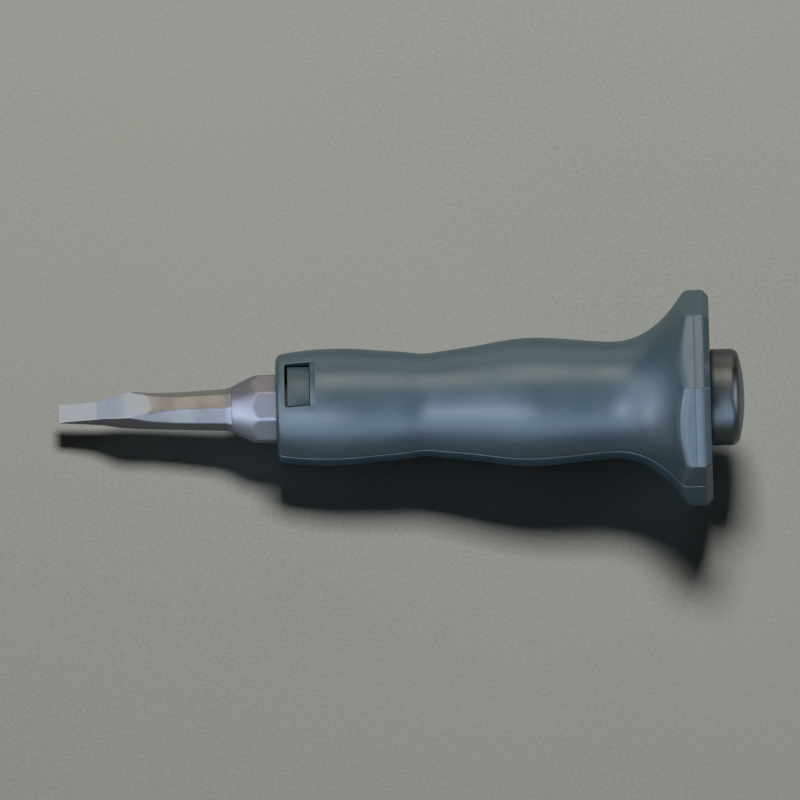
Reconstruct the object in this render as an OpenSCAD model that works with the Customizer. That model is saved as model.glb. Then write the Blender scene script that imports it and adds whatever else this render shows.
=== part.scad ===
// Cold chisel with a guarded grip and an interchangeable blade.
// X runs along the tool: the struck head is at +X and the cutting edge at -X. +Z passes through the
// release button. The origin is the middle of the struck face. The modules measure X from the rear face
// of the hand guard, and placed() moves each node to the origin.

/* [Grip] */
// Length of the grip and guard along the tool
grip_len = 127; // [126:0.5:128]
// Wall of the two moulded shells
shell_wall = 2.6; // [2.4:0.1:2.8]
// Radius of the opening round the blade's collar
nose_bore_r = 11; // [10.8:0.1:11.4]

/* [Guard] */
// Width of the octagonal guard across its flats
guard_af = 58.6; // [57:0.2:60]
// Thickness of the plate that closes the guard
cover_t = 2; // [1.8:0.1:2.2]
// Chamfer round the plate's rear edge
cover_chamfer = 1.8; // [1:0.1:1.8]

/* [Striking core] */
// Radius of the struck head
head_r = 14.1; // [13:0.1:14.2]
// How far the struck head stands out behind the guard
head_len = 9.8; // [8:0.2:12]
// Radius of the bar through the grip
bar_r = 7.5; // [7:0.1:7.5]
// Radius of the socket outside
socket_r = 8.5; // [8.3:0.1:8.6]
// Radius of the blade's plug
plug_r = 5.2; // [5.1:0.05:5.3]
// Length of the blade's plug inside the socket
plug_len = 30; // [28:1:32]

/* [Blade] */
// Width of the cutting edge
edge_w = 5.8; // [5:0.2:7]
// Distance of the cutting edge from the guard's rear face
reach = 190.5; // [189:0.5:192]
// Width of the shank across its flats, at the shoulder
shank_af = 11.7; // [11:0.1:12.4]
// Width of the collar across its flats
collar_af = 19.3; // [18:0.1:19.6]

/* [Release] */
// How far the button travels
button_travel = 1.5; // [1.2:0.1:1.5]
// Thickness of the retaining clip's wire
clip_d = 1.2; // [1:0.05:1.2]
// Depth of the plug's retaining groove
groove_d = 0.5; // [0.4:0.05:0.6]

/* [Hidden] */
$fn = 96;

fit = 0.05;       // running clearance, radial
gap = 0.15;       // moulding clearance
eps = 0.01;

// Stations along X
nose_x = -grip_len;
nose_wall = 2.1;
socket_x = nose_x + 2;             // socket's front face, which the collar strikes
collar_x = nose_x - 6;             // collar's front edge
cone_x = collar_x - 7.2;           // shoulder's front edge
hood_x = -reach + 26.5;            // where the forged blade grows out of the shank
clip_x = socket_x + 3.6;           // retaining clip and groove
nose_ring_x = socket_x + 11.9;
nose_ring_len = 6.2;
flange_x = -66;                    // front face of the core's flange
flange_t = 4;
damper_t = 2.4;
web_x = -9;                        // wall that closes the flare behind the hand
web_t = 2.4;
neck_x = -1.6;                     // step under the head, inside the cover's hole
neck_r = head_r - 1.1;
head_x = 0.3;                      // front face of the head, just behind the cover

// Inside the shells
rib_t = 1.6;
past_wall = 20;                    // a radius outside every inner surface of the grip
damper_r = 12;                     // core's flange and the elastomer rings
seat_r = damper_r + 0.1;
flange_half = 10.5;                // flats that keep the core from turning
ring_gap = 0.02;                   // between an elastomer ring and its neighbours
neck_gap = 0.3;                    // round the core's neck
bore_spare = 1.5;                  // socket's depth beyond the plug

// Fasteners
SHELL_SCREWS = [[-101, 12.2], [-46, 13.2]];
screw_r = 1.5;
thread_gap = 0.04;
boss_r = 2.9;                      // round the cover's screws
grip_boss_r = 3.6;                 // round the shell screws
screw_seat_z = -6;                 // bottom of the counterbores under the grip
counterbore_r = 2.7;
cover_screw_r = 21;                // distance of the cover's screws from the axis
countersink_t = 1.6;

// Under the button
socket_top_z = 7.2;                // flat on the socket
leg_y = plug_r - groove_d + clip_d / 2;
window_x = [socket_x + 1.2, socket_x + 8.1];
window_half = 7.1;
ramp_len = 2;                      // thumb ramp behind the window
ramp_depth = 0.6;

// The grip's outline as stations [x, radius]: nose, palm swell, waist, finger swell, flare
OUTLINE = [[-127, 13.9], [-126.4, 15.2], [-125, 15.9], [-118, 16.8], [-110, 17.1], [-104, 16.9],
           [-97, 16.3], [-90, 15.7], [-84, 15], [-78, 15.6], [-68, 16.9], [-60, 18.2], [-52, 18.8],
           [-42, 18.2], [-33, 17.3], [-27, 17.1], [-22, 18.1], [-18, 20], [-15, 22.2], [-12, 25.1],
           [-9, 28.9], [-6.4, 33]];

// A smooth curve through stations
function blend(a, b, c, d, t) =
    0.5 * (2 * b + (c - a) * t + (2 * a - 5 * b + 4 * c - d) * t * t
           + (3 * b - a - 3 * c + d) * t * t * t);
function curve(p, steps) = [
    for (i = [0 : len(p) - 2], s = [0 : steps - 1])
        blend(p[max(i - 1, 0)], p[i], p[i + 1], p[min(i + 2, len(p) - 1)], s / steps),
    p[len(p) - 1]];
function unit(v) = v / norm(v);
// The same curve, moved inwards along its normal
function inset(p, d) = [
    for (i = [0 : len(p) - 1])
        let (v = unit(p[min(i + 1, len(p) - 1)] - p[max(i - 1, 0)]))
        p[i] + d * [v[1], -v[0]]];
function swap(p) = [for (q = p) [q[1], q[0]]];

outer = curve(OUTLINE, 2);
inner = concat([[nose_x + nose_wall, 13.2]],
               [for (q = inset(outer, shell_wall)) if (q[0] > nose_x + 5 && q[0] < web_x - 1) q]);
shell_rear_x = -cover_t;
flare_r = OUTLINE[len(OUTLINE) - 1][1];

module placed() {
    translate([-head_len, 0, 0]) children();
}

// Turns a profile of [radius, x] points about the tool's axis
module turned() {
    rotate([0, 90, 0]) rotate_extrude() children();
}

// A round bar along the tool
module bar(r, x0, x1) {
    translate([x0, 0, 0]) rotate([0, 90, 0]) cylinder(r = r, h = x1 - x0);
}

module ring(r_out, r_in, x0, x1) {
    difference() {
        bar(r_out, x0, x1);
        bar(r_in, x0 - 1, x1 + 1);
    }
}

// An octagonal bar along the tool with flats facing up, down and sideways
module octagon_bar(af, x0, x1, af1 = 0, roll = 0) {
    k = 2 * cos(22.5);
    translate([x0, 0, 0]) rotate([roll + 22.5, 0, 0]) rotate([0, 90, 0])
        cylinder(r1 = af / k, r2 = (af1 ? af1 : af) / k, h = x1 - x0, $fn = 8);
}

/* ---- Blade ---- */
// The forging is what four flat outlines along X have in common. Each gives half widths at stations:
// across, up, down, and over the upper and lower corners. Behind the hood they agree on an octagon.
edge_half = 0.25;
SHANK_END = [[cone_x + 1, shank_af / 2]];
tip_x = -reach;
ACROSS = concat(curve([[tip_x, edge_w / 2], [tip_x + 11, edge_w / 2 + 0.05], [tip_x + 14.5, 3.5],
                       [tip_x + 18, 4.15], [tip_x + 21.5, 4.45], [hood_x, 4.75]], 3), SHANK_END);
UP = concat([[tip_x, edge_half]],
            curve([[tip_x + 11, 1.6], [tip_x + 14.5, 3], [tip_x + 18, 4.4], [tip_x + 21, 4.95],
                   [tip_x + 24, 5], [hood_x + 1, 4.85]], 3), SHANK_END);
DOWN = concat([[tip_x, edge_half]],
              curve([[tip_x + 11, 1.9], [tip_x + 18, 3.8], [tip_x + 24, 4.7], [hood_x + 1, 4.85]], 3),
              SHANK_END);
UPPER_CORNER = concat([[tip_x, 8]],
                      curve([[tip_x + 18.5, 7], [tip_x + 23.5, 6], [hood_x + 2, 5.35],
                             [hood_x + 9.5, 5.2]], 3), SHANK_END);
LOWER_CORNER = concat(curve([[tip_x, 3.2], [tip_x + 11, 3.4], [tip_x + 18, 4.15], [hood_x, 4.75]], 3),
                      SHANK_END);

function mirrored(p) = [for (i = [len(p) - 1 : -1 : 0]) [p[i][0], -p[i][1]]];

// An outline with its upper and lower edges, as a slab that stands at an angle about the tool's axis
module slab(above, below, angle) {
    rotate([90 + angle, 0, 0]) translate([0, 0, -10]) linear_extrude(20)
        polygon(concat(above, mirrored(below)));
}

module forging() {
    intersection() {
        slab(ACROSS, ACROSS, 90);
        slab(UP, DOWN, 0);
        slab(UPPER_CORNER, LOWER_CORNER, 45);
        slab(UPPER_CORNER, LOWER_CORNER, -45);
    }
}

module chisel_blade() {
    color([0.62, 0.63, 0.66]) difference() {
        union() {
            forging();
            shoulder();
            octagon_bar(collar_af, collar_x, socket_x, roll = 22.5);
            bar(plug_r, socket_x - eps, socket_x + plug_len - 1);
            translate([socket_x + plug_len - 1, 0, 0]) rotate([0, 90, 0])
                cylinder(r1 = plug_r, r2 = plug_r - 1, h = 1);
        }
        ring(plug_r + 1, plug_r - groove_d, clip_x - 0.8, clip_x + 0.8);
    }
}

// Round shoulder between the shank and the collar
module shoulder() {
    translate([cone_x, 0, 0]) rotate([0, 90, 0])
        cylinder(r1 = shank_af / 2 + 0.2, r2 = collar_af / 2 + 0.3, h = collar_x - cone_x + eps);
}

/* ---- Striking core ---- */
module striking_core() {
    bore_end_x = socket_x + plug_len + bore_spare;
    socket_rear_x = -88;
    slot_half = clip_d / 2 + 0.1;
    color([0.36, 0.37, 0.4]) difference() {
        union() {
            bar(socket_r, socket_x, socket_rear_x);
            bar(bar_r, socket_rear_x - eps, head_x);
            bar(neck_r, neck_x, head_x + eps);
            difference() {
                bar(damper_r, flange_x, flange_x + flange_t);
                for (s = [-1, 1])
                    translate([flange_x - 1, s * (flange_half + 5) - 5, -15])
                        cube([flange_t + 2, 10, 30]);
            }
            head();
        }
        bar(plug_r + fit, socket_x - 1, bore_end_x);
        // flat under the button
        translate([socket_x - 1, -10, socket_top_z]) cube([10.5, 20, 10]);
        // slots that the retaining clip's legs spread into
        for (s = [-1, 1])
            translate([clip_x - slot_half, s > 0 ? leg_y - slot_half : -7, -10])
                cube([2 * slot_half, 7 - leg_y + slot_half, 20]);
    }
}

module head() {
    edge_r = 2.6;
    crown = 1.4;
    flat_r = 4;
    turned() polygon(concat(
        [[0, head_x], [head_r, head_x]],
        [for (a = [0 : 15 : 90])
            [head_r - edge_r + edge_r * cos(a), head_len - crown - edge_r + edge_r * sin(a)]],
        [[8, head_len - 0.35], [flat_r, head_len], [0, head_len]]));
}

/* ---- Grip shells ---- */
module grip_body() {
    intersection() {
        turned() polygon(swap(concat([[nose_x, 0]], outer, [[shell_rear_x, flare_r], [shell_rear_x, 0]])));
        octagon_bar(guard_af, nose_x - 1, shell_rear_x);
    }
}

module grip_hollow() {
    difference() {
        turned() polygon(swap(concat([[inner[0][0], 0]], inner, [[inner[len(inner) - 1][0], 0]])));
        // ribs that carry the core
        for (x = [nose_ring_x - rib_t, nose_ring_x + nose_ring_len, -84,
                  flange_x - damper_t - rib_t, flange_x + flange_t + damper_t, -32])
            bar(past_wall, x, x + rib_t);
        // seats outside the elastomer rings
        ring(past_wall, seat_r, nose_ring_x - 0.1, nose_ring_x + nose_ring_len + 0.1);
        ring(past_wall, seat_r, flange_x - damper_t - 0.1, flange_x + flange_t + damper_t + 0.1);
        for (p = SHELL_SCREWS, s = [-1, 1])
            translate([p[0], s * p[1], -20]) cylinder(r = grip_boss_r, h = 40);
        bar(30, web_x, web_x + 1);
        for (s = [-1, 1], t = [-1, 1])
            cover_boss(s, t, -16, web_x);
    }
}

module cover_boss(s, t, x0, x1, r = boss_r) {
    k = cover_screw_r * cos(45);
    translate([0, s * k, t * k]) bar(r, x0, x1);
}

module grip_half() {
    difference() {
        grip_body();
        grip_hollow();
        // the core's way through the ribs and the web
        bar(nose_bore_r, nose_x - 1, socket_x + 1);
        bar(socket_r + gap, socket_x, -88 + gap);
        bar(bar_r + gap, -89, 1);
        bar(seat_r, nose_ring_x, nose_ring_x + nose_ring_len);
        bar(seat_r, flange_x - damper_t, flange_x + flange_t + damper_t);
        // pocket behind the web
        difference() {
            octagon_bar(guard_af - 2 * shell_wall, web_x + web_t, 1);
            ring(neck_r + shell_wall, neck_r + neck_gap, web_x + web_t - 1, 1);
            for (s = [-1, 1], t = [-1, 1])
                cover_boss(s, t, web_x, 1);
        }
        for (s = [-1, 1], t = [-1, 1])
            cover_boss(s, t, -13, 1, r = screw_r);
        bar(neck_r + neck_gap, web_x + web_t, 1);
    }
}

module grip_shell_top() {
    color([0.27, 0.35, 0.39]) difference() {
        intersection() {
            grip_half();
            translate([-150, -40, 0.01]) cube([160, 80, 40]);
        }
        // window for the button, and the shallow thumb ramp behind it
        translate([window_x[0], -window_half, 0])
            cube([window_x[1] - window_x[0], 2 * window_half, 30]);
        intersection() {
            turned() polygon([[17 - ramp_depth, window_x[1] - eps], [17.05, window_x[1] + ramp_len],
                              [25, window_x[1] + ramp_len], [25, window_x[1] - eps]]);
            translate([window_x[1] - eps, -window_half, 0]) cube([ramp_len + 1, 2 * window_half, 30]);
        }
        // button bay
        bay_x = nose_x + 2.05;
        translate([bay_x, -9, 0]) cube([nose_ring_x - rib_t - bay_x, 18, 10.5]);
        for (p = SHELL_SCREWS, s = [-1, 1])
            translate([p[0], s * p[1], -1]) cylinder(r = screw_r, h = 9.2);
    }
}

module grip_shell_bottom() {
    color([0.27, 0.35, 0.39]) difference() {
        intersection() {
            grip_half();
            translate([-150, -40, -40]) cube([160, 80, 39.99]);
        }
        // room for the clip's bow
        translate([clip_x - 1, -7.4, -11.2]) cube([2, 14.8, 12]);
        for (p = SHELL_SCREWS, s = [-1, 1]) {
            translate([p[0], s * p[1], -20]) cylinder(r = screw_r + 0.1, h = 21);
            translate([p[0], s * p[1], screw_seat_z - 24]) cylinder(r = counterbore_r, h = 24);
        }
    }
}

/* ---- Guard cover ---- */
module guard_cover() {
    color([0.25, 0.33, 0.37]) difference() {
        union() {
            octagon_bar(guard_af, shell_rear_x, -cover_chamfer);
            octagon_bar(guard_af, -cover_chamfer - eps, 0, guard_af - 2 * cover_chamfer);
        }
        bar(neck_r + neck_gap, -5, 1);
        for (s = [-1, 1], t = [-1, 1]) {
            cover_boss(s, t, -5, 1, r = screw_r + 0.1);
            k = cover_screw_r * cos(45);
            translate([-countersink_t, s * k, t * k]) rotate([0, 90, 0])
                cylinder(r1 = screw_r + 0.1, r2 = 3.2, h = countersink_t + eps);
        }
    }
}

/* ---- Release button, springs and clip ---- */
button_x = [socket_x + 1.5, socket_x + 7.9];
button_half = 6.4;
button_base_z = 9.2;
button_top_r = 15.0;
spring_x = socket_x + 5.9;
spring_y = 4.6;
spring_r = 1.3;
pocket_z = 11.2;
lip_half = 8.3;
lip_t = 1.1;
tip_y = 5.45;                      // inner side of the notches over the clip's tips
wedge_half_t = 0.9;

module release_button() {
    color([0.29, 0.37, 0.41]) difference() {
        union() {
            intersection() {
                translate([button_x[0], -button_half, button_base_z])
                    cube([button_x[1] - button_x[0], 2 * button_half, 10]);
                bar(button_top_r, nose_x, -100);
            }
            // lip that stops under the shell
            translate([button_x[0], -lip_half, button_base_z])
                cube([button_x[1] - button_x[0], 2 * lip_half, lip_t]);
            wedge();
        }
        for (s = [-1, 1])
            translate([spring_x, s * spring_y, button_base_z - 1])
                cylinder(r = spring_r + 0.35, h = pocket_z - button_base_z + 1);
        // notches over the clip's tips, deeper than the button travels
        for (s = [-1, 1])
            translate([clip_x - wedge_half_t, s > 0 ? tip_y : -tip_y - 3, button_base_z - 1])
                cube([2 * wedge_half_t, 3, button_travel + 2.4]);
    }
}

// Spreads the clip's tips when it comes down between them
module wedge() {
    top_z = button_base_z + 0.7;
    bottom_z = button_base_z - 0.45;
    translate([clip_x - wedge_half_t, 0, 0]) rotate([90, 0, 90]) linear_extrude(2 * wedge_half_t)
        polygon([[-4.3, bottom_z], [4.3, bottom_z], [5.3, top_z], [-5.3, top_z]]);
}

// A tube swept along a path, as one closed mesh
function frame_at(p, i) =
    let (t = unit(p[min(i + 1, len(p) - 1)] - p[max(i - 1, 0)]), u = unit(cross(t, [1, 0.013, 0.01])))
    [u, cross(t, u)];
module tube(p, r, sides) {
    points = [for (i = [0 : len(p) - 1], k = [0 : sides - 1])
        let (f = frame_at(p, i), a = 360 * k / sides) p[i] + r * (cos(a) * f[0] + sin(a) * f[1])];
    last = (len(p) - 1) * sides;
    faces = concat(
        [[for (k = [sides - 1 : -1 : 0]) k]],
        [for (i = [0 : len(p) - 2], k = [0 : sides - 1])
            let (a = i * sides + k, b = i * sides + (k + 1) % sides)
                each [[a, b, b + sides], [a, b + sides, a + sides]]],
        [[for (k = [0 : sides - 1]) last + k]]);
    polyhedron(points, faces, convexity = 6);
}

module button_springs() {
    turns = 4.5;
    wire_r = 0.22;
    z0 = socket_top_z + wire_r + 0.03;
    rise = pocket_z - z0 - wire_r - 0.03;
    color([0.7, 0.7, 0.72]) for (s = [-1, 1])
        translate([spring_x, s * spring_y, z0])
            tube([for (i = [0 : turns * 12]) let (a = 30 * i)
                [spring_r * cos(a), spring_r * sin(a), rise * i / (turns * 12)]], wire_r, 8);
}

module retaining_clip() {
    bow_z = -9.7;
    bend = 2;
    arc = [for (a = [0 : 18 : 90]) [0, leg_y - bend + bend * cos(a), bow_z + bend - bend * sin(a)]];
    half = concat([[0, leg_y + 1.15, 9.6], [0, leg_y + 0.1, 8.3], [0, leg_y, 7.9]], arc);
    path = concat(half, [for (i = [len(half) - 1 : -1 : 0]) [0, -half[i][1], half[i][2]]]);
    color([0.55, 0.56, 0.58]) translate([clip_x, 0, 0]) tube(path, clip_d / 2, 12);
}

/* ---- Elastomer rings ---- */
module nose_ring() {
    color([0.1, 0.1, 0.1])
        ring(seat_r - fit, socket_r + fit, nose_ring_x + fit, nose_ring_x + nose_ring_len - fit);
}

module core_dampers() {
    color([0.1, 0.1, 0.1]) for (x = [flange_x - damper_t, flange_x + flange_t])
        ring(damper_r, bar_r + fit, x + ring_gap, x + damper_t - ring_gap);
}

module head_damper() {
    color([0.1, 0.1, 0.1])
        ring(neck_r, bar_r + fit, web_x + web_t + ring_gap, neck_x - ring_gap);
}

/* ---- Fasteners ---- */
module shell_screws() {
    head_t = 1.9;
    length = 13.9;
    color([0.6, 0.6, 0.62]) for (p = SHELL_SCREWS, s = [-1, 1])
        translate([p[0], s * p[1], screw_seat_z]) difference() {
            union() {
                translate([0, 0, -head_t]) cylinder(r = counterbore_r - 0.2, h = head_t - 0.02);
                translate([0, 0, -0.1]) cylinder(r = screw_r - thread_gap, h = length + 0.1);
            }
            translate([0, 0, -head_t - 1]) cylinder(r = 1.25, h = 2.1, $fn = 6);
        }
}

module cover_screws() {
    k = cover_screw_r * cos(45);
    head_base_x = -countersink_t + 0.1;
    head_t = 1.34;
    length = 9.5;
    color([0.6, 0.6, 0.62]) for (s = [-1, 1], t = [-1, 1])
        translate([head_base_x, s * k, t * k]) difference() {
            union() {
                rotate([0, 90, 0]) cylinder(r1 = screw_r + 0.06, r2 = 2.9, h = head_t);
                bar(screw_r - thread_gap, -length, 0.1);
            }
            translate([0.2, 0, 0]) rotate([0, 90, 0]) cylinder(r = 1, h = 2, $fn = 6);
        }
}

placed() chisel_blade();
placed() striking_core();
placed() grip_shell_top();
placed() grip_shell_bottom();
placed() guard_cover();
placed() release_button();
placed() button_springs();
placed() retaining_clip();
placed() nose_ring();
placed() core_dampers();
placed() head_damper();
placed() shell_screws();
placed() cover_screws();
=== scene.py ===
"""Looks of the cold chisel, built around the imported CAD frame.

The mesh code works in millimetres, with X measured from the rear face of the hand guard, +X towards the
struck head and +Z through the release button. Shape.finish turns its points into metres in the frame.
"""

import math

import bmesh
import bpy
from mathutils import Matrix, Vector


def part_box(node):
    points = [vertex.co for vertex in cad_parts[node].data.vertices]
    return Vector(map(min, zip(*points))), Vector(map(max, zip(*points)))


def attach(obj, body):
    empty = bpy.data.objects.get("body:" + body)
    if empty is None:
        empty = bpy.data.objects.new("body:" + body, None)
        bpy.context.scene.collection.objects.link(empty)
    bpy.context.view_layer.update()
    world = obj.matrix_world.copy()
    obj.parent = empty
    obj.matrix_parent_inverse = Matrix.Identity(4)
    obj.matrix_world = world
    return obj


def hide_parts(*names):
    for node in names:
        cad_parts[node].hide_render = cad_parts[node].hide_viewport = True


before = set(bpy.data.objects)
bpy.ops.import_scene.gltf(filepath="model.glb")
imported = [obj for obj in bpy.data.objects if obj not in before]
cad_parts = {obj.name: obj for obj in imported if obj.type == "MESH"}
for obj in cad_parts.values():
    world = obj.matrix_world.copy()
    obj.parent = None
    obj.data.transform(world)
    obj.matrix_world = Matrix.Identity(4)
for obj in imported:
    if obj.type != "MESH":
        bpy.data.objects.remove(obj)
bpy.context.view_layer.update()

MM = 0.001
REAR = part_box("guard_cover")[1].x / MM
HEAD_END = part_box("striking_core")[1].x / MM - REAR
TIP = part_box("chisel_blade")[0].x / MM - REAR
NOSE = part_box("grip_shell_top")[0].x / MM - REAR
GUARD_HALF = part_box("guard_cover")[1].y / MM
SHELL_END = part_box("guard_cover")[0].x / MM - REAR
PLUG_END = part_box("chisel_blade")[1].x / MM - REAR
CLIP_X = (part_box("retaining_clip")[0].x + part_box("retaining_clip")[1].x) / 2 / MM - REAR
SHOULDER_AT = -141.4
GROUND_LEN = 27.2


# ---- Small tools -------------------------------------------------------------------------------

def span(a, b, steps):
    """steps + 1 even values from a to b."""
    return [a + (b - a) * i / steps for i in range(steps + 1)]


def ramp(t):
    """0 below 0, 1 above 1, smooth between."""
    t = min(max(t, 0.0), 1.0)
    return t * t * (3 - 2 * t)


def between(table, x):
    """The value at x on a line through a table's points."""
    if x <= table[0][0]:
        return table[0][1]
    for (x0, y0), (x1, y1) in zip(table, table[1:]):
        if x <= x1:
            return y0 + (y1 - y0) * (x - x0) / (x1 - x0)
    return table[-1][1]


def curve(points, steps):
    """Catmull-Rom curve through points, with steps pieces between each two."""
    out = []
    last = len(points) - 1
    for i in range(last):
        a, b, c, d = points[max(i - 1, 0)], points[i], points[i + 1], points[min(i + 2, last)]
        for s in range(steps):
            t = s / steps
            out.append(tuple(
                0.5 * (2 * q + (r - p) * t + (2 * p - 5 * q + 4 * r - w) * t * t
                       + (3 * q - p - 3 * r + w) * t ** 3)
                for p, q, r, w in zip(a, b, c, d)))
    out.append(tuple(points[-1]))
    return out


def round_corner(corner, before, after, radius, steps=4):
    """Points of an arc-like curve in place of a corner of a profile."""
    c = Vector(corner)
    a = c + (Vector(before) - c).normalized() * radius
    b = c + (Vector(after) - c).normalized() * radius
    return [tuple(a * (1 - t) ** 2 + c * 2 * t * (1 - t) + b * t * t) for t in span(0, 1, steps)]


class Shape:
    """A mesh in the making."""

    def __init__(self):
        self.points = []
        self.faces = []

    def add(self, points):
        start = len(self.points)
        self.points.extend(points)
        return list(range(start, len(self.points)))

    def bridge(self, a, b, closed=True):
        n = len(a)
        for i in range(n if closed else n - 1):
            j = (i + 1) % n
            self.faces.append((a[i], a[j], b[j], b[i]))

    def rings(self, loops, closed=True):
        """Adds loops of points one after the other, joined by quads, and returns their indices."""
        made = [self.add(loop) for loop in loops]
        for a, b in zip(made, made[1:]):
            self.bridge(a, b, closed)
        return made

    def cap(self, loop):
        self.faces.append(tuple(loop))

    def finish(self, name, material, body, slot, sharp=28):
        mesh = bpy.data.meshes.new(name)
        mesh.from_pydata([((x + REAR) * MM, y * MM, z * MM) for x, y, z in self.points], [],
                         self.faces)
        bm = bmesh.new()
        bm.from_mesh(mesh)
        bmesh.ops.remove_doubles(bm, verts=bm.verts, dist=1e-7)
        bmesh.ops.recalc_face_normals(bm, faces=bm.faces)
        bm.to_mesh(mesh)
        bm.free()
        mesh.polygons.foreach_set("use_smooth", [True] * len(mesh.polygons))
        mesh.set_sharp_from_angle(angle=math.radians(sharp))
        mesh.materials.append(material)
        piece = bpy.data.objects.new(name, mesh)
        bpy.context.scene.collection.objects.link(piece)
        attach(piece, body)
        return piece


# ---- Materials ---------------------------------------------------------------------------------

class Paint:
    """A node material with short calls for the nodes that the finishes below share."""

    def __init__(self, name, roughness=0.5, metallic=0.0, specular=0.5, coat=0.0):
        self.material = bpy.data.materials.new(name)
        self.material.use_nodes = True
        self.nodes = self.material.node_tree.nodes
        self.links = self.material.node_tree.links
        self.shader = self.nodes["Principled BSDF"]
        self.shader.inputs["Metallic"].default_value = metallic
        self.shader.inputs["Roughness"].default_value = roughness
        self.shader.inputs["Specular IOR Level"].default_value = specular
        self.shader.inputs["Coat Weight"].default_value = coat
        self.place = self.nodes.new("ShaderNodeTexCoord").outputs["Object"]

    def put(self, node, socket, value):
        if isinstance(value, bpy.types.NodeSocket):
            self.links.new(value, node.inputs[socket])
        else:
            node.inputs[socket].default_value = value

    def stretched(self, x, y, z):
        """Object coordinates with their own scale along each axis."""
        node = self.nodes.new("ShaderNodeMapping")
        self.put(node, "Vector", self.place)
        node.inputs["Scale"].default_value = (x, y, z)
        return node.outputs["Vector"]

    def noise(self, scale, detail=3.0, roughness=0.5, vector=None, distortion=0.0):
        node = self.nodes.new("ShaderNodeTexNoise")
        self.put(node, "Vector", vector or self.place)
        self.put(node, "Scale", scale)
        self.put(node, "Detail", detail)
        self.put(node, "Roughness", roughness)
        self.put(node, "Distortion", distortion)
        return node.outputs["Fac"]

    def grains(self, scale, vector=None):
        node = self.nodes.new("ShaderNodeTexVoronoi")
        self.put(node, "Vector", vector or self.place)
        self.put(node, "Scale", scale)
        return node.outputs["Distance"]

    def scale(self, value, low, high, to_low, to_high):
        node = self.nodes.new("ShaderNodeMapRange")
        self.put(node, "Value", value)
        for socket, number in zip(("From Min", "From Max", "To Min", "To Max"),
                                  (low, high, to_low, to_high)):
            self.put(node, socket, number)
        return node.outputs["Result"]

    def math(self, operation, a, b=0.0):
        node = self.nodes.new("ShaderNodeMath")
        node.operation = operation
        self.put(node, 0, a)
        self.put(node, 1, b)
        return node.outputs["Value"]

    def mix(self, share, a, b):
        node = self.nodes.new("ShaderNodeMix")
        node.data_type = "RGBA"
        self.put(node, 0, share)
        self.put(node, 6, a)
        self.put(node, 7, b)
        return node.outputs[2]

    def axes(self):
        node = self.nodes.new("ShaderNodeSeparateXYZ")
        self.put(node, "Vector", self.place)
        return node.outputs["X"], node.outputs["Y"], node.outputs["Z"]

    def edges(self, low=0.51, high=0.56):
        """1 on sharp outer edges, 0 elsewhere."""
        node = self.nodes.new("ShaderNodeNewGeometry")
        return self.scale(node.outputs["Pointiness"], low, high, 0.0, 1.0)

    def bump(self, height, strength, distance, under=None):
        node = self.nodes.new("ShaderNodeBump")
        self.put(node, "Height", height)
        self.put(node, "Strength", strength)
        self.put(node, "Distance", distance)
        if under is not None:
            self.put(node, "Normal", under)
        return node.outputs["Normal"]

    def use(self, color=None, roughness=None, normal=None):
        for socket, value in (("Base Color", color), ("Roughness", roughness), ("Normal", normal)):
            if value is not None:
                self.put(self.shader, socket, value)
        return self.material


def grey(r, g, b):
    return (r, g, b, 1.0)


def moulded_plastic(name, dark, light, worn, specular=0.9):
    """Satin moulding: fine spark-eroded texture, slow flow marks and slightly rubbed edges."""
    p = Paint(name, specular=specular)
    slow = p.noise(55, 3, 0.55)
    flow = p.noise(16, 2, 0.5, p.stretched(0.35, 1, 1), 0.6)
    color = p.mix(p.scale(slow, 0.35, 0.65, 0.0, 0.6), dark, light)
    color = p.mix(p.scale(flow, 0.45, 0.7, 0.0, 0.25), color, dark)
    color = p.mix(p.math("MULTIPLY", p.edges(0.515, 0.6), 0.4), color, worn)
    speckle = p.scale(p.noise(900), 0.4, 0.6, -0.02, 0.02)
    rough = p.math("ADD", p.scale(slow, 0.3, 0.7, 0.38, 0.46), speckle)
    spark = p.bump(p.noise(2600, 2, 0.6), 0.10, 0.00006)
    skin = p.bump(p.noise(420, 2, 0.5), 0.10, 0.0001, spark)
    return p.use(color, rough, skin)


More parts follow.
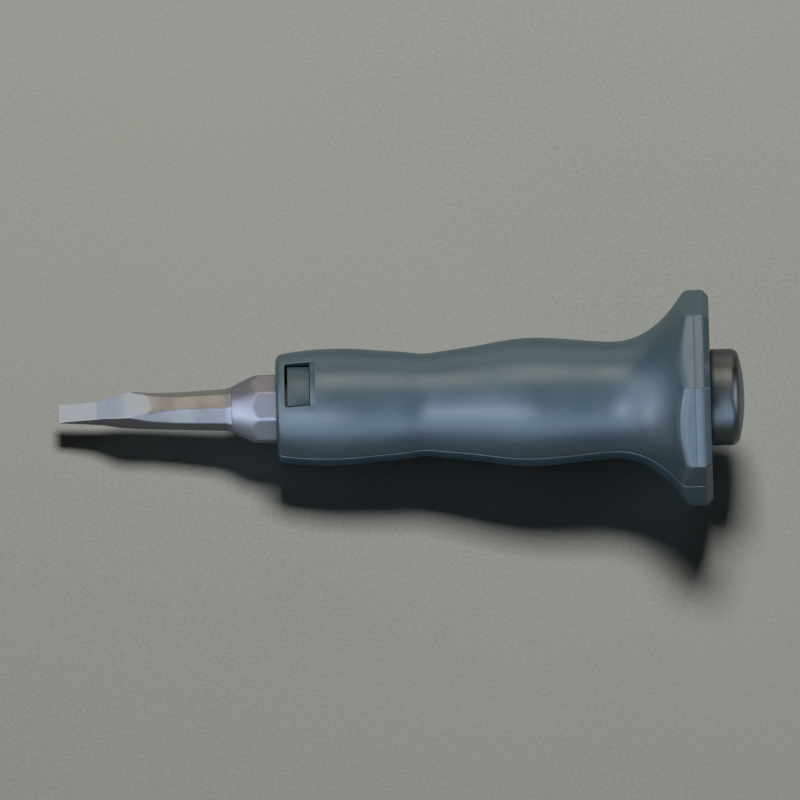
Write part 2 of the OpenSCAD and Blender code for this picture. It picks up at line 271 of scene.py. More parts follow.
def blade_steel():
    """Forged shank, polished, with a lighter collar and a ground face over the flat end."""
    p = Paint("blade steel", metallic=1.0)
    x, y, _ = p.axes()
    ground_end = (REAR + TIP + GROUND_LEN) * MM
    wobble = p.scale(p.noise(300, 2), 0.3, 0.7, -0.0006, 0.0006)
    tongue = p.math("MULTIPLY", p.math("MULTIPLY", y, y), 150.0)
    ground = p.scale(p.math("ADD", p.math("ADD", x, wobble), tongue),
                     ground_end - 0.0006, ground_end + 0.0002, 1.0, 0.0)
    facing = p.nodes.new("ShaderNodeSeparateXYZ")
    p.put(facing, "Vector", p.nodes["Texture Coordinate"].outputs["Normal"])
    ground = p.math("MULTIPLY", ground, p.scale(facing.outputs["Z"], 0.74, 0.82, 0.0, 1.0))
    lines = p.noise(1.0, 4, 0.65, p.stretched(5200, 160, 160))
    drawn = p.noise(1.0, 4, 0.6, p.stretched(90, 2600, 2600))
    stain = p.noise(120, 4, 0.6, None, 0.4)
    shank = p.mix(p.scale(stain, 0.35, 0.7, 0.0, 1.0), grey(0.190, 0.182, 0.175), grey(0.142, 0.140, 0.142))
    face = p.mix(p.scale(lines, 0.3, 0.7, 0.0, 1.0), grey(0.245, 0.270, 0.292), grey(0.315, 0.345, 0.37))
    collar = p.scale(x, (REAR + SHOULDER_AT - 0.6) * MM, (REAR + SHOULDER_AT + 0.6) * MM, 0.0, 1.0)
    shank = p.mix(collar, shank, p.mix(stain, grey(0.25, 0.25, 0.27), grey(0.19, 0.19, 0.215)))
    color = p.mix(ground, shank, face)
    color = p.mix(p.math("MULTIPLY", p.edges(0.52, 0.58), 0.5), color, grey(0.45, 0.45, 0.47))
    polished = p.scale(stain, 0.3, 0.7, 0.43, 0.52)
    cut = p.scale(lines, 0.3, 0.7, 0.52, 0.62)
    share = p.math("MULTIPLY", ground, p.math("SUBTRACT", cut, polished))
    rough = p.math("ADD", polished, share)
    fine = p.bump(p.math("MULTIPLY", lines, ground), 0.35, 0.00004)
    scratches = p.bump(drawn, 0.08, 0.00003, fine)
    return p.use(color, rough, p.bump(p.noise(260, 2), 0.10, 0.0002, scratches))


def turned_steel():
    """Lathe-turned bar with a dark oxide finish, brighter where the hammer lands."""
    p = Paint("core steel", metallic=1.0)
    x, y, z = p.axes()
    radius = p.math("SQRT", p.math("ADD", p.math("MULTIPLY", y, y), p.math("MULTIPLY", z, z)))
    combine = p.nodes.new("ShaderNodeCombineXYZ")
    p.put(combine, 0, p.math("MULTIPLY", x, 3400.0))
    p.put(combine, 1, p.math("MULTIPLY", radius, 3400.0))
    lathe = p.noise(1.0, 3, 0.6, combine.outputs[0])
    slow = p.noise(140, 4, 0.6)
    color = p.mix(p.scale(slow, 0.35, 0.7, 0.0, 1.0), grey(0.075, 0.085, 0.09), grey(0.11, 0.12, 0.125))
    crown = p.scale(x, (REAR + HEAD_END - 1.6) * MM, (REAR + HEAD_END) * MM, 0.0, 1.0)
    struck = p.math("MULTIPLY", crown, p.scale(p.noise(500, 4, 0.7), 0.4, 0.62, 0.0, 0.8))
    color = p.mix(struck, color, grey(0.26, 0.27, 0.28))
    color = p.mix(p.math("MULTIPLY", p.edges(0.52, 0.6), 0.4), color, grey(0.22, 0.23, 0.24))
    rough = p.math("ADD", p.scale(slow, 0.3, 0.7, 0.34, 0.44), p.scale(lathe, 0.3, 0.7, -0.03, 0.05))
    dents = p.bump(p.math("MULTIPLY", struck, p.noise(700, 3)), 0.35, 0.0001)
    return p.use(color, rough, p.bump(lathe, 0.10, 0.00004, dents))


def drawn_wire():
    p = Paint("spring steel", metallic=1.0)
    slow = p.noise(600, 3)
    color = p.mix(p.scale(slow, 0.3, 0.7, 0.0, 1.0), grey(0.42, 0.43, 0.45), grey(0.6, 0.6, 0.62))
    return p.use(color, p.scale(slow, 0.3, 0.7, 0.22, 0.36), p.bump(p.noise(5000, 2), 0.1, 0.00003))


def plated_screw():
    p = Paint("screw steel", metallic=1.0)
    slow = p.noise(500, 4, 0.6)
    color = p.mix(p.scale(slow, 0.3, 0.7, 0.0, 1.0), grey(0.40, 0.41, 0.43), grey(0.56, 0.57, 0.58))
    color = p.mix(p.math("MULTIPLY", p.edges(), 0.4), color, grey(0.75, 0.75, 0.75))
    return p.use(color, p.scale(slow, 0.3, 0.7, 0.26, 0.42), p.bump(p.noise(2500, 2), 0.15, 0.00004))


def rubber():
    p = Paint("elastomer", specular=0.3)
    slow = p.noise(300, 4, 0.6)
    color = p.mix(slow, grey(0.012, 0.012, 0.013), grey(0.03, 0.03, 0.032))
    return p.use(color, p.scale(slow, 0.3, 0.7, 0.65, 0.8), p.bump(p.noise(3000, 3), 0.2, 0.00006))


def mat_board():
    """Pale, slightly grainy board under the tool."""
    p = Paint("floor", specular=0.25)
    fine = p.noise(900, 4, 0.65)
    broad = p.noise(6, 3)
    color = p.mix(p.scale(fine, 0.3, 0.7, 0.0, 1.0), grey(0.272, 0.296, 0.276), grey(0.330, 0.352, 0.330))
    color = p.mix(p.scale(broad, 0.35, 0.65, 0.0, 0.3), color, grey(0.34, 0.35, 0.32))
    return p.use(color, 0.62, p.bump(fine, 0.35, 0.0004))


GRIP = moulded_plastic("grip plastic", grey(0.015, 0.043, 0.061), grey(0.022, 0.055, 0.075),
                       grey(0.075, 0.11, 0.13))
COVER = moulded_plastic("cover plastic", grey(0.014, 0.041, 0.058), grey(0.020, 0.052, 0.071),
                        grey(0.08, 0.115, 0.135))
BUTTON = moulded_plastic("button plastic", grey(0.016, 0.036, 0.046), grey(0.024, 0.048, 0.060),
                         grey(0.05, 0.075, 0.09), 0.6)
BLADE = blade_steel()
CORE = turned_steel()


# ---- Grip shells -------------------------------------------------------------------------------

WALL = 2.6
PARTING_ROUND = 0.32
NOSE_BORE = 11.0
COVER_HOLE = 13.3
BAR_SEAT = 7.65
POCKET_X = -6.6
WITNESS_X = -4.4
OUTLINE = [(-127, 13.9), (-126.4, 15.2), (-125, 15.9), (-118, 16.8), (-110, 17.1), (-104, 16.9),
           (-97, 16.3), (-90, 15.7), (-84, 15), (-78, 15.6), (-68, 16.9), (-60, 18.2),
           (-52, 18.8), (-42, 18.2), (-33, 17.3), (-27, 17.1), (-22, 18.1), (-18, 20),
           (-15, 22.2), (-12, 25.1), (-9, 28.9), (-6.4, 33)]
GRIP_CURVE = curve(OUTLINE, 12)
SCREWS = [(-101, 12.2), (-46, 13.2)]
RIBS = [(-114.7, -113.1, 8.65), (-113.1, -106.9, 12.1), (-106.9, -105.3, 8.65),
        (-84, -82.4, BAR_SEAT), (-70, -68.4, BAR_SEAT), (-68.4, -59.6, 12.1), (-59.6, -58, BAR_SEAT),
        (-32, -30.4, BAR_SEAT)]
WINDOW_OUT = span(-125.2, -114.9, 22)
WINDOW_IN = span(-124.8, -114.95, 22)
WINDOW_ANGLES = (59.0, 121.0)


def grip_radius(x):
    return between(GRIP_CURVE, x)


def octagon_radius(angle, half, rounding=0.8):
    """Distance from the axis to an octagon with slightly rounded corners, at an angle in degrees."""
    from_flat = (angle + 22.5) % 45 - 22.5
    from_corner = math.radians(22.5 - abs(from_flat))
    centre = (half - rounding) / math.cos(math.radians(22.5))
    flat = half / math.cos(math.radians(from_flat))
    tangent = math.radians(22.5) - math.atan((half - rounding) * math.tan(math.radians(22.5)) / half)
    if from_corner > tangent:
        return flat
    return centre * math.cos(from_corner) + math.sqrt(
        rounding ** 2 - (centre * math.sin(from_corner)) ** 2)


def flare_end(radius):
    """Where the flaring outline reaches a radius."""
    low, high = -20.0, -6.4
    for _ in range(40):
        middle = (low + high) / 2
        low, high = (middle, high) if grip_radius(middle) < radius else (low, middle)
    return low


def pad(x, angle, radius):
    """The hollow's radius, less where a pad carries a screw."""
    near_side = min(angle, 180 - angle)
    for centre, y in SCREWS:
        along = ramp((4.6 - abs(x - centre)) / 0.6)
        around = ramp((66 - near_side) / 5)
        radius += (y - 2.4 - radius) * along * around
    return radius


def outer_stations():
    """X stations from the nose's corner to the start of the flare."""
    nose = [x for x, _ in curve(OUTLINE, 6) if x < WINDOW_OUT[0] - 0.05]
    parts = [nose, WINDOW_OUT]
    at = WINDOW_OUT[-1]
    for centre, _ in SCREWS:
        parts.append(span(at, centre - 4.2, round((centre - 4.2 - at) / 1.3))[1:-1])
        parts.append(span(centre - 4.2, centre + 4.2, 16))
        at = centre + 4.2
    parts.append(span(at, -20, 17)[1:])
    return [x for part in parts for x in part]


STATIONS = outer_stations()


def hollow_path(angle):
    """The hollow's profile from the web to the nose."""
    out = []
    ribs = sorted(RIBS, reverse=True)
    for x in span(-10, -114, 80):
        if not any(x0 < x < x1 for x0, x1, _ in ribs):
            slope = (grip_radius(x + 0.2) - grip_radius(x - 0.2)) / 0.4
            out.append((x, pad(x, angle, grip_radius(x) - WALL * math.hypot(1, slope))))
    for x0, x1, r in ribs:
        out.extend([(x1, r), (x0, r)])
    for x0, x1, _ in ribs:
        for x in (x1 + 0.01, x0 - 0.01):
            if not any(a - 0.005 < x < b + 0.005 for a, b, _ in ribs):
                out.append((x, pad(x, angle, grip_radius(x) - WALL)))
    out.sort(key=lambda q: -q[0])
    out = [q for q in out if q[0] > WINDOW_IN[-1] + 0.02]
    return out + [(x, grip_radius(x) - WALL) for x in reversed(WINDOW_IN)]


def section(angle):
    """Closed profile of a shell at an angle, from the nose's opening round to it again."""
    rim = octagon_radius(angle, GUARD_HALF)
    corner_x = flare_end(rim)
    bore = NOSE_BORE
    out = [(NOSE + 1.6, bore)] + round_corner((NOSE, bore), (NOSE + 1, bore), (NOSE, bore + 1), 0.35)
    out += [(x, grip_radius(x)) for x in STATIONS]
    flare = span(-20, corner_x - 1.1, 17)[1:]
    out += [(x, grip_radius(x)) for x in flare]
    back = corner_x - 0.4
    out += round_corner((corner_x, rim), (back, grip_radius(back)), (corner_x + 1, rim), 1.8, 9)
    out += [(x, rim) for x in span(corner_x + 1.9, WITNESS_X - 0.4, 2)]
    out += [(WITNESS_X - 0.14, rim), (WITNESS_X, rim - 0.06), (WITNESS_X + 0.14, rim), (SHELL_END - 0.7, rim)]
    rear = SHELL_END - 0.02
    out += round_corner((rear, rim), (-3, rim), (rear, rim - 1), 0.16, 3)
    pocket = octagon_radius(angle, GUARD_HALF - WALL, 0.6)
    out += [(rear, pocket), (POCKET_X, pocket), (POCKET_X, 15.6), (rear, 15.6),
            (rear, COVER_HOLE), (POCKET_X, COVER_HOLE), (POCKET_X, BAR_SEAT), (-10, BAR_SEAT)]
    out += hollow_path(angle)
    out += [(WINDOW_IN[0] - 0.02, bore)]
    return out


def half_angles():
    """Angles round a half shell, closer near the guard's corners, without the parting rows."""
    near_corner = [-0.9, -0.45, 0, 0.45, 0.9]
    out = span(2.6, 21, 6)
    for i, corner in enumerate((22.5, 67.5, 112.5, 157.5)):
        out += [corner + d for d in near_corner]
        if i < 3:
            out += span(corner + 0.9, corner + 44.1, 15)[1:-1]
    return out + [180 - a for a in reversed(span(2.6, 21, 6))]


def half_shell(side):
    """One half as rows of sections, with side 1 above and -1 below."""
    shape = Shape()
    edge = (0.0, 0.05, 0.12, 0.21, PARTING_ROUND)
    rows = [("near", d) for d in edge] + [("mid", a) for a in half_angles()]
    rows += [("far", d) for d in reversed(edge)]
    grid = []
    angles = []
    outer_count = None
    for kind, value in rows:
        angle = value if kind == "mid" else (0.0 if kind == "near" else 180.0)
        profile = section(angle)
        outer_count = outer_count or next(
            i for i, q in enumerate(profile) if i > 10 and q[1] < octagon_radius(angle, GUARD_HALF) - 1
            and q[0] > -3)
        points = []
        for i, (x, r) in enumerate(profile):
            if kind == "mid":
                a = math.radians(angle)
                points.append((x, r * math.cos(a), side * (r * math.sin(a) + 0.01)))
            else:
                d = value
                drop = PARTING_ROUND - math.sqrt(PARTING_ROUND ** 2 - (PARTING_ROUND - d) ** 2)
                rr = r - (drop if 6 <= i < outer_count else 0)
                y = math.sqrt(max(rr * rr - d * d, 0.0))
                points.append((x, y if kind == "near" else -y, side * (d + 0.01)))
        grid.append(shape.add(points))
        angles.append(angle)
    return shape, grid, angles


def block_loop(grid, rows, columns):
    """Indices round a block of cells. Columns may run either way."""
    top, bottom = rows
    out = [grid[top][c] for c in columns]
    out += [grid[r][columns[-1]] for r in range(top + 1, bottom + 1)]
    out += [grid[bottom][c] for c in reversed(columns[:-1])]
    out += [grid[r][columns[0]] for r in range(bottom - 1, top, -1)]
    return out


def fill_cells(shape, grid, holes):
    """Quads over the grid, whose sections are closed loops, except inside the blocks."""
    skipped = {(r, c) for (top, bottom), columns in holes
               for r in range(top, bottom)
               for c in range(min(columns), max(columns))}
    n = len(grid[0])
    for r in range(len(grid) - 1):
        for c in range(n):
            if (r, c) not in skipped:
                d = (c + 1) % n
                shape.faces.append((grid[r][c], grid[r][d], grid[r + 1][d], grid[r + 1][c]))
    shape.cap(grid[0])
    shape.cap(reversed(grid[-1]))


def column_of(profile, x, first=True):
    found = [i for i, q in enumerate(profile) if abs(q[0] - x) < 1e-6]
    return found[0] if first else found[-1]


def near_row(angles, angle):
    return min(range(len(angles)), key=lambda i: abs(angles[i] - angle))


def on_box(x, y, box, corners):
    """The nearest point to x, y on a rounded rectangle. Corner radii are for low and high X."""
    (x0, x1), half = box
    r = corners[0] if x < (x0 + x1) / 2 else corners[1]
    cx = min(max(x, x0 + r), x1 - r)
    cy = min(max(y, -half + r), half - r)
    dx, dy = x - cx, y - cy
    length = math.hypot(dx, dy)
    return cx + dx / length * r, cy + dy / length * r


def window(shape, grid, angles):
    """The button's window: rounded rim, straight walls, and a thumb ramp behind it."""
    profile = section(90)
    rows = (near_row(angles, WINDOW_ANGLES[0]), near_row(angles, WINDOW_ANGLES[1]))
    outside = [column_of(profile, x) for x in WINDOW_OUT]
    inside = [column_of(profile, x, False) for x in WINDOW_IN]
    rim = ((-124.5, -115.5), 7.32)
    wall = ((-124.28, -116.9), 7.1)
    edge = 0.24
    loop = block_loop(grid, rows, outside)
    loops = [[] for _ in range(9)]
    for index in loop:
        x, y, _ = shape.points[index]
        ax, ay = on_box(x, y, rim, (1.15, 0.3))
        share = (ax - rim[0][0]) / (rim[0][1] - rim[0][0])
        bx = wall[0][0] + share * (wall[0][1] - wall[0][0])
        by = ay * wall[1] / rim[1]
        behind = ramp((share - 0.93) / 0.07)
        for step in range(6):
            turn = math.radians(18 * step)
            reach = math.sin(turn)
            px = ax + (bx - ax) * reach * (1 - 0.87 * behind)
            py = ay + (by - ay) * reach
            top = math.sqrt(grip_radius(px) ** 2 - py * py) + 0.01
            loops[step].append((px, py, top - (edge + 0.3 * behind) * (1 - math.cos(turn))))
        top = math.sqrt(grip_radius(bx) ** 2 - by * by) + 0.01
        loops[6].append((bx, by, top - edge - 0.05 - 0.6 * behind))
        floor = math.sqrt((grip_radius(bx) - WALL) ** 2 - by * by)
        loops[7].append((bx, by, floor + 0.5))
        loops[8].append((bx, by, floor + 0.1))
    made = shape.rings(loops)
    shape.bridge(loop, made[0])
    shape.bridge(made[-1], block_loop(grid, rows, inside))
    return [(rows, outside), (rows, inside)]


def counterbores(shape, grid, angles):
    """Counterbored screw holes in the lower shell."""
    profile = section(90)
    levels = [(2.95, "skin", 0), (2.82, "skin", 0.05), (2.72, "skin", 0.16), (2.7, "skin", 0.3),
              (2.7, "flat", -6.0), (1.6, "flat", -6.0), (1.6, "flat", -0.6)]
    holes = []
    for centre, y0 in SCREWS:
        for s in (1, -1):
            radius = grip_radius(centre)
            low = math.degrees(math.acos((y0 + 3.6) / radius))
            high = math.degrees(math.acos((y0 - 4.1) / radius))
            pair = (low, high) if s > 0 else (180 - high, 180 - low)
            rows = (near_row(angles, pair[0]), near_row(angles, pair[1]))
            columns = [column_of(profile, x) for x in span(centre - 4.2, centre + 4.2, 16)]
            loop = block_loop(grid, rows, columns)
            loops = [[] for _ in levels]
            for index in loop:
                x, y, _ = shape.points[index]
                dx, dy = x - centre, y - s * y0
                length = math.hypot(dx, dy)
                for level, (r, kind, value) in zip(loops, levels):
                    px, py = centre + dx / length * r, s * y0 + dy / length * r
                    z = value
                    if kind == "skin":
                        z = value - 0.01 - math.sqrt(grip_radius(px) ** 2 - py * py)
                    level.append((px, py, z))
            made = shape.rings(loops)
            shape.bridge(loop, made[0])
            shape.cap(made[-1])
            holes.append((rows, columns))
    return holes


def grip_shells():
    for name, side in (("grip_shell_top", 1), ("grip_shell_bottom", -1)):
        shape, grid, angles = half_shell(side)
        holes = window(shape, grid, angles) if side > 0 else counterbores(shape, grid, angles)
        fill_cells(shape, grid, holes)
        piece = shape.finish(name + "_skin", GRIP, "holder", "grip_plastic")
        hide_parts(name)


# ---- Guard cover -------------------------------------------------------------------------------

def guard_cover():
    """Octagonal plate with a chamfered rim, a hole for the neck and four countersunk screw holes."""
    shape = Shape()
    hole = COVER_HOLE
    chamfer = 1.8
    screw_r = 21
    face = span(hole + 0.5, GUARD_HALF - chamfer - 0.9, 22)
    angles = []
    for i in range(8):
        corner = 45 * i - 22.5
        angles += [corner + d for d in (-0.9, -0.45, 0, 0.45, 0.9)]
        angles += span(corner + 0.9, corner + 44.1, 18)[1:-1]
    grid = []
    for angle in angles:
        rim = octagon_radius(angle, GUARD_HALF)
        inner = octagon_radius(angle, GUARD_HALF - chamfer, 0.6)
        path = [(SHELL_END, hole), (-0.25, hole), (-0.07, hole + 0.07), (0, hole + 0.25)]
        path += [(0, hole + 0.5 + (r - hole - 0.5) * ((inner - 0.9) - hole - 0.5)
                  / (face[-1] - hole - 0.5)) for r in face]
        path += round_corner((0, inner), (0, inner - 1), (-chamfer, rim), 0.35)
        path += round_corner((-chamfer, rim), (0, inner), (-chamfer - 1, rim), 0.1, 2)
        path += [(SHELL_END, rim)]
        path += [(SHELL_END, r) for r in reversed([q[1] for q in path[4:4 + len(face)]])]
        a = math.radians(angle)
        grid.append(shape.add([(x, r * math.cos(a), r * math.sin(a)) for x, r in path]))
    columns = list(range(4, 4 + len(face)))
    back = list(range(len(grid[0]) - 1, len(grid[0]) - 1 - len(face), -1))
    low = min(range(len(face)), key=lambda i: abs(face[i] - 16.9))
    high = min(range(len(face)), key=lambda i: abs(face[i] - 24.6))
    skipped = set()
    for angle in (45, 135, 225, 315):
        first = near_row(angles, angle - 12)
        last = near_row(angles, angle + 12)
        front_columns = columns[low:high + 1]
        back_columns = back[low:high + 1]
        loop = block_loop(grid, (first, last), front_columns)
        behind = block_loop(grid, (first, last), back_columns)
        a = math.radians(angle)
        cy, cz = screw_r * math.cos(a), screw_r * math.sin(a)
        levels = [(3.45, 0.0), (3.28, -0.06), (3.15, -0.18), (1.6, -1.6),
                  (1.6, SHELL_END + 0.1), (1.6, SHELL_END)]
        loops = [[] for _ in levels]
        for index in loop:
            _, y, z = shape.points[index]
            length = math.hypot(y - cy, z - cz)
            for level, (r, x) in zip(loops, levels):
                level.append((x, cy + (y - cy) / length * r, cz + (z - cz) / length * r))
        made = shape.rings(loops)
        shape.bridge(loop, made[0])
        shape.bridge(made[-1], behind)
        for r in range(first, last):
            for group in (front_columns, back_columns):
                skipped |= {(r, c) for c in range(min(group), max(group))}
    n, m = len(grid), len(grid[0])
    for r in range(n):
        for c in range(m):
            if (r, c) not in skipped:
                s, d = (r + 1) % n, (c + 1) % m
                shape.faces.append((grid[r][c], grid[r][d], grid[s][d], grid[s][c]))
    piece = shape.finish("guard_cover_plate", COVER, "holder", "grip_plastic", 24)
    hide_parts("guard_cover")


# ---- Blade -------------------------------------------------------------------------------------

ACROSS = curve([(0, 2.9), (11, 2.95), (14.5, 3.5), (18, 4.15), (21.5, 4.45), (26.5, 4.75)], 8)
UP = [(0, 0.25)] + curve([(11, 1.6), (14.5, 3), (18, 4.4), (21, 4.95), (24, 5), (27.5, 4.85)], 8)
DOWN = [(0, 0.25)] + curve([(11, 1.9), (18, 3.8), (24, 4.7), (27.5, 4.85)], 8)
UPPER_CORNER = [(0, 8)] + curve([(18.5, 7), (23.5, 6), (28.5, 5.35), (36, 5.2)], 8)
LOWER_CORNER = curve([(0, 3.2), (11, 3.4), (18, 4.15), (26.5, 4.75)], 8)
SHANK_END = (51.3, 5.85)
COLLAR_HALF = 9.65
COLLAR_AT = -133.0
COLLAR_END = -125.0


def soft_least(values, power):
    """The least of some values, blended where two are close."""
    return sum(v ** -power for v in values if v > 0) ** (-1 / power)


def forging_radius(s, angle):
    """Distance from the axis to the forging's skin, s behind the tip."""
    halves = [between(t + [SHANK_END], s) for t in (ACROSS, UPPER_CORNER, UP, DOWN, LOWER_CORNER)]
    across, upper, up, down, lower = halves
    planes = [(0, across), (45, upper), (90, up), (135, upper), (180, across), (225, lower),
              (270, down), (315, lower)]
    reach = []
    for direction, half in planes:
        c = math.cos(math.radians(angle - direction))
        if c > 1e-3:
            reach.append(half / c)
    return soft_least(reach, 70)


def collar_radius(x, angle):
    """The shoulder's cone, cut by the collar's flats."""
    slope = 4.05 / 8.4
    cone = 6.05 + (x - SHOULDER_AT) * slope
    end = COLLAR_HALF / math.cos(math.radians(22.5)) - max(0, x - (COLLAR_END - 0.5)) * 0.9
    flats = [COLLAR_HALF / math.cos(math.radians(angle - d)) for d in (22.5 + 45 * i for i in range(8))
             if math.cos(math.radians(angle - d)) > 0.3]
    return soft_least([cone, max(end, 1) * 1.004] + flats, 90)


def chisel_blade():
    """Forging, collar and grooved plug as one run of loops."""
    shape = Shape()
    count = 144
    turns = [360 * i / count for i in range(count)]
    loops = []
    shank_len = SHOULDER_AT - TIP
    stations = span(0, 10.5, 12) + span(11, 29, 54) + span(30, shank_len - 1, 22)
    stations += span(shank_len - 0.7, shank_len + 1.3, 8)
    for s in stations:
        a = between(ACROSS, s)
        b = max(between(UP + [SHANK_END], s), 0.25)
        loop = []
        fillet = 0.4 * ramp((s - shank_len + 1) / 2.4) ** 2
        for t in turns:
            angle = math.degrees(math.atan2(b * math.sin(math.radians(t)), a * math.cos(math.radians(t))))
            r = forging_radius(s, angle) + fillet
            v = math.radians(angle)
            loop.append((TIP + s, r * math.cos(v), r * math.sin(v)))
        loops.append(loop)
    collar = span(SHOULDER_AT + 1.5, COLLAR_AT + 1.5, 26) + span(COLLAR_AT + 2, COLLAR_END - 0.7, 8)
    collar += [COLLAR_END - back for back in (0.5, 0.3, 0.12, 0)]
    for x in collar:
        loops.append([(x, collar_radius(x, t) * math.cos(math.radians(t)),
                       collar_radius(x, t) * math.sin(math.radians(t))) for t in turns])
    plug = [(COLLAR_END, 5.7), (COLLAR_END + 0.01, 5.2), (CLIP_X - 0.8, 5.2), (CLIP_X - 0.78, 4.7),
            (CLIP_X + 0.78, 4.7), (CLIP_X + 0.8, 5.2), (PLUG_END - 1.1, 5.2), (PLUG_END - 0.95, 5.15),
            (PLUG_END, 4.2)]
    for x, r in plug:
        loops.append([(x, r * math.cos(math.radians(t)), r * math.sin(math.radians(t))) for t in turns])
    made = shape.rings(loops)
    shape.cap(reversed(made[0]))
    shape.cap(made[-1])
    piece = shape.finish("chisel_blade_steel", BLADE, "blade", "blade_steel", 32)
    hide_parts("chisel_blade")


# ---- Striking core -----------------------------------------------------------------------------

SOCKET_TOP = 7.2


def striking_core():
    """Socket with a flat under the button, bar with its flange, neck and crowned head."""
    shape = Shape()
    count = 128
    edge = 2.6
    crown = 1.4
    head = 14.1
    path = [(-93.5, 0.4), (-93.5, 5.25), (COLLAR_END + 0.35, 5.25)]
    path += [(COLLAR_END, 5.6), (COLLAR_END, 7.6), (COLLAR_END + 0.4, 8.5)]
    path += [(x, 8.5) for x in (CLIP_X, -115.52, -115.48, -105, -90, -88)]
    path += [(-88, 7.5), (-66, 7.5), (-66, 12), (-62, 12), (-62, 7.5), (-30, 7.5), (-1.6, 7.5),
             (-1.6, 13), (0.06, 13), (0.06, 13.8), (0.14, 14.0), (0.36, head)]
    path += [(x, head) for x in span(1.4, HEAD_END - crown - edge, 4)]
    top = HEAD_END - crown - edge
    path += [(top + edge * math.sin(math.radians(a)), head - edge + edge * math.cos(math.radians(a)))
             for a in range(8, 82, 6)]
    start = path[-1]
    rise = HEAD_END - start[0]
    for t in span(0, 1, 12)[1:]:
        r = start[1] * (1 - t) + 0.3 * t
        path.append((start[0] + rise * (1 - (1 - t) ** 2.1), r))
    loops = []
    for x, r in path:
        loop = []
        for i in range(count):
            a = 2 * math.pi * i / count
            y, z = r * math.cos(a), r * math.sin(a)
            if COLLAR_END - 0.1 <= x < -115.5 and r > 5.3:
                z = min(z, SOCKET_TOP)
            loop.append((x, y, z))
        loops.append(loop)
    made = shape.rings(loops)
    shape.cap(reversed(made[0]))
    shape.cap(made[-1])
    piece = shape.finish("striking_core_steel", CORE, "holder", "core_steel", 34)
    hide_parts("striking_core")


# ---- Nodes that keep their CAD shape -----------------------------------------------------------

def keep_cad(node, material, bevel=0.0):
    """A finish, and a bevel in millimetres, for a node that keeps its CAD mesh."""
    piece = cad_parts[node]
    piece.data.materials.clear()
    piece.data.materials.append(material)
    if bevel:
        weld = piece.modifiers.new("weld", "WELD")
        weld.merge_threshold = 1e-6
        soft = piece.modifiers.new("edges", "BEVEL")
        soft.width = bevel * MM
        soft.segments = 3
        soft.limit_method = "ANGLE"
        soft.angle_limit = math.radians(38)
        soft.harden_normals = True


# ---- Studio ------------------------------------------------------------------------------------

def floor():
    """The board that the tool lies on: it touches the guard's lowest flat and the grip's nose."""
    guard_x, guard_z = -8.6, -GUARD_HALF
    nose_x, nose_z = -117.0, -16.85
    tilt = math.atan2(nose_z - guard_z, guard_x - nose_x)
    bpy.ops.mesh.primitive_plane_add(size=6)
    board = bpy.context.object
    board.name = "floor"
    board.matrix_world = (Matrix.Translation(((guard_x + REAR) * MM, 0, (guard_z - 0.05) * MM))
                          @ Matrix.Rotation(tilt, 4, "Y"))
    board.data.materials.append(mat_board())
    return board


def toward(x_tilt, from_up, distance):
    """A point over the tool: x_tilt degrees towards +X, from_up degrees from +Z towards +Y."""
    a, b = math.radians(from_up), math.radians(x_tilt)
    aim = Vector((math.sin(b), math.cos(b) * math.sin(a), math.cos(b) * math.cos(a)))
    return aim * distance


def softbox(name, x_tilt, from_up, distance, size, power, color):
    """Rectangular lamp that faces the tool."""
    light = bpy.data.lights.new(name, "AREA")
    light.shape = "RECTANGLE"
    light.size, light.size_y = size
    light.energy = power
    light.color = color
    lamp = bpy.data.objects.new(name, light)
    bpy.context.scene.collection.objects.link(lamp)
    place = toward(x_tilt, from_up, distance)
    lamp.location = Vector(((REAR - 90) * MM, 0, 0)) + place
    lamp.rotation_euler = place.to_track_quat("Z", "Y").to_euler()
    lamp.visible_camera = False
    return lamp


def spare_floor(lamp, board):
    """Keeps a lamp's light off the floor."""
    group = bpy.data.collections.new(lamp.name + " receivers")
    group.objects.link(board)
    lamp.light_linking.receiver_collection = group
    group.collection_objects[0].light_linking.link_state = "EXCLUDE"


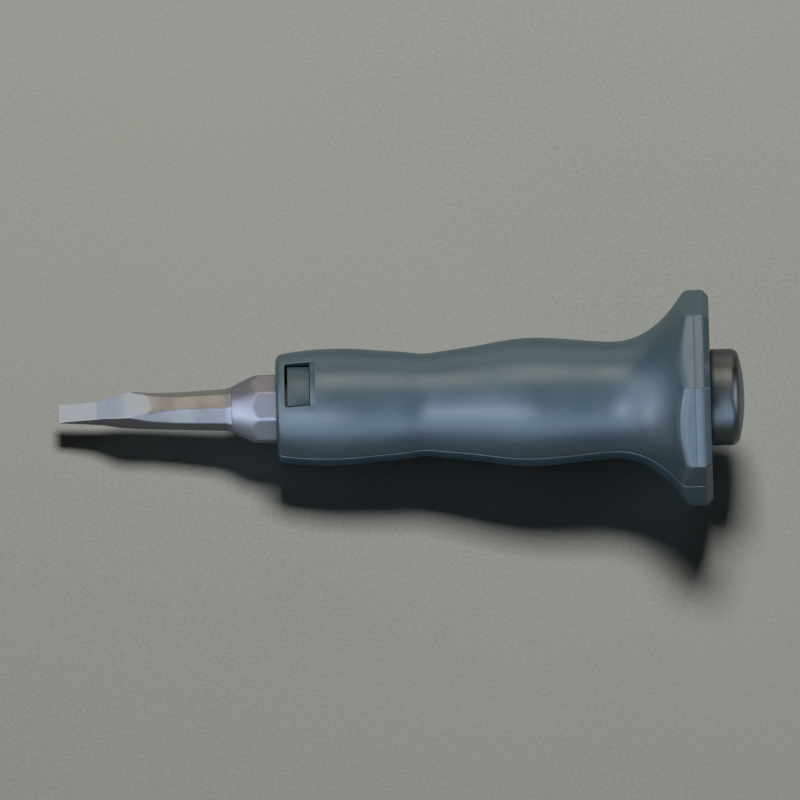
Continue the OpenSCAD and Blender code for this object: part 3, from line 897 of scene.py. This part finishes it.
def lights(board):
    """One lamp for the shadow, panels that only show as reflections, and a cool fill for the tool."""
    key = softbox("key", 4, 27, 1.5, (0.5, 0.4), 24, (1.0, 0.965, 0.93))
    key.visible_glossy = False
    panels = [
        softbox("brown panel", 0, 26, 1.5, (1.3, 0.9), 11, (1.0, 0.88, 0.75)),
        softbox("far panel", 0, 73, 1.5, (2.2, 0.75), 6.0, (1.0, 0.91, 0.80)),
        softbox("middle panel", 0, -14, 1.5, (2.2, 0.7), 3.2, (0.80, 0.88, 1.0)),
        softbox("front panel", -12, -45, 1.5, (0.52, 0.45), 8.5, (0.70, 0.80, 1.0)),
        softbox("low panel", 0, -72, 1.5, (2.2, 0.85), 19, (0.62, 0.79, 1.0)),
        softbox("right panel", 66, -20, 1.5, (1.0, 1.2), 14, (0.72, 0.84, 1.0)),
        softbox("left low panel", -62, -86, 1.5, (0.9, 0.9), 16, (0.74, 0.84, 1.0)),
        softbox("left panel", -60, -24, 1.5, (1.6, 2.6), 34, (0.74, 0.84, 1.0)),
    ]
    for lamp in panels:
        lamp.visible_diffuse = False
    fill = softbox("fill", -10, -55, 1.5, (1.0, 0.8), 9, (0.55, 0.78, 1.0))
    fill.visible_glossy = False
    for lamp in panels + [fill]:
        spare_floor(lamp, board)
    world = bpy.data.worlds.new("studio")
    world.use_nodes = True
    shade = world.node_tree.nodes["Background"]
    shade.inputs["Color"].default_value = (0.62, 0.66, 0.70, 1)
    shade.inputs["Strength"].default_value = 0.035
    bpy.context.scene.world = world
    bpy.context.scene.view_settings.view_transform = "Standard"


def camera():
    """Very long lens, far away, level with the guard's rear face, so that the guard is seen edge on."""
    distance = 8.0
    middle_x = -90.9
    elevation = math.radians(62.5)
    yaw = math.asin(-middle_x * MM / distance)
    roll = math.radians(1.49)
    back = Vector((math.sin(yaw), -math.cos(yaw) * math.cos(elevation),
                   math.cos(yaw) * math.sin(elevation)))
    level = Vector((1, 0, 0)) - back * back.x
    level.normalize()
    rise = back.cross(level)
    right = level * math.cos(roll) - rise * math.sin(roll)
    up = back.cross(right)
    target = Vector(((REAR + middle_x) * MM, 0, 0)) + up * 1.6 * MM
    data = bpy.data.cameras.new("camera")
    data.sensor_width = 36
    data.clip_end = 20
    data.lens = 307.8 * 4
    view = bpy.data.objects.new("camera", data)
    bpy.context.scene.collection.objects.link(view)
    basis = Matrix((right, up, back)).transposed().to_4x4()
    view.matrix_world = Matrix.Translation(target + back * distance) @ basis
    bpy.context.scene.camera = view


# ---- The whole ---------------------------------------------------------------------------------

grip_shells()
guard_cover()
chisel_blade()
striking_core()
WIRE, SCREW, RUBBER = drawn_wire(), plated_screw(), rubber()
keep_cad("release_button", BUTTON, 0.3)
keep_cad("button_springs", WIRE)
keep_cad("retaining_clip", WIRE)
keep_cad("shell_screws", SCREW, 0.12)
keep_cad("cover_screws", SCREW, 0.1)
keep_cad("nose_ring", RUBBER, 0.2)
keep_cad("core_dampers", RUBBER, 0.2)
keep_cad("head_damper", RUBBER, 0.2)
lights(floor())
camera()
